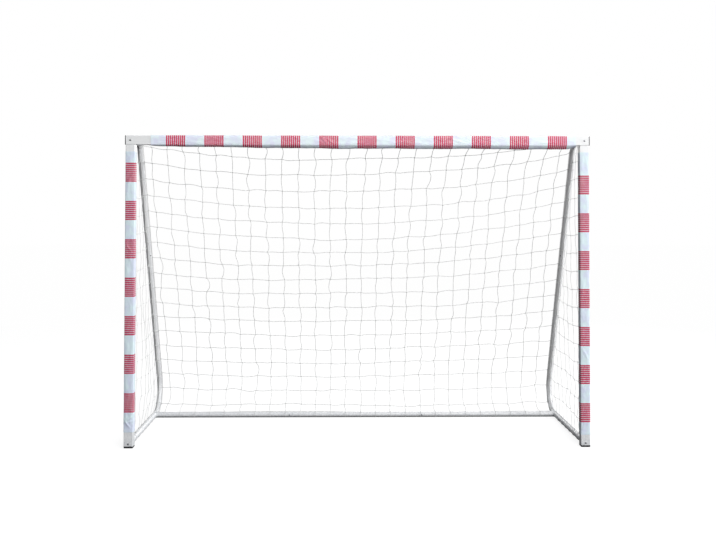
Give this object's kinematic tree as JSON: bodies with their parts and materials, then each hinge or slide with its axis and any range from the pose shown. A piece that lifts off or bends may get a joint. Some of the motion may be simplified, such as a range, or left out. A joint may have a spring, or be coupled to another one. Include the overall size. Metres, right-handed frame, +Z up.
{
  "type": "soccer goal",
  "caption": "Free-standing steel soccer goal: square-tube front frame in striped sleeves, bent round-tube side frames, a rear ground rail and a square-mesh cord net.",
  "frame": {"origin": "on the ground under the middle of the goal's bounding box", "axes": "+X to the right as seen from in front of the mouth, +Y from the mouth back to the net, +Z up"},
  "size_m": [3, 1.1993, 2.0016],
  "materials": {
    "white_steel": "white powder coat, semi-gloss",
    "black_plastic": "moulded, matt",
    "zinc_steel": "zinc plated",
    "sleeve_fabric": "thin coated fabric, white with blocks of fine red stripes",
    "net_cord": "white knotted cord"
  },
  "bodies": {
    "root": {"crossbar_left": "white_steel", "crossbar_middle": "white_steel", "crossbar_right": "white_steel", "crossbar_insert_left": "white_steel", "crossbar_insert_right": "white_steel", "post_left_upper": "white_steel", "post_left_lower": "white_steel", "post_right_upper": "white_steel", "post_right_lower": "white_steel", "post_insert_left": "white_steel", "post_insert_right": "white_steel", "post_spigot_left": "white_steel", "post_spigot_right": "white_steel", "crossbar_end_cap_left": "black_plastic", "crossbar_end_cap_right": "black_plastic", "foot_cap_left": "black_plastic", "foot_cap_right": "black_plastic", "stay_upper_left": "white_steel", "stay_upper_right": "white_steel", "stay_lower_left": "white_steel", "stay_lower_right": "white_steel", "ground_tube_left": "white_steel", "ground_tube_right": "white_steel", "rail_stub_left": "white_steel", "rail_stub_right": "white_steel", "rear_rail_left": "white_steel", "rear_rail_middle": "white_steel", "rear_rail_right": "white_steel", "corner_bolt_top_left": "zinc_steel", "corner_bolt_top_right": "zinc_steel", "corner_bolt_foot_left": "zinc_steel", "corner_bolt_foot_right": "zinc_steel", "threaded_plug_top_left": "zinc_steel", "threaded_plug_top_right": "zinc_steel", "threaded_plug_foot_left": "zinc_steel", "threaded_plug_foot_right": "zinc_steel", "stay_screw_left": "zinc_steel", "stay_screw_right": "zinc_steel", "rail_screw_left": "zinc_steel", "rail_screw_right": "zinc_steel", "crossbar_sleeve": "sleeve_fabric", "post_sleeve_left": "sleeve_fabric", "post_sleeve_right": "sleeve_fabric", "net_top": "net_cord", "net_back": "net_cord", "net_foot": "net_cord", "net_left": "net_cord", "net_right": "net_cord"}
  },
  "joints": []
}
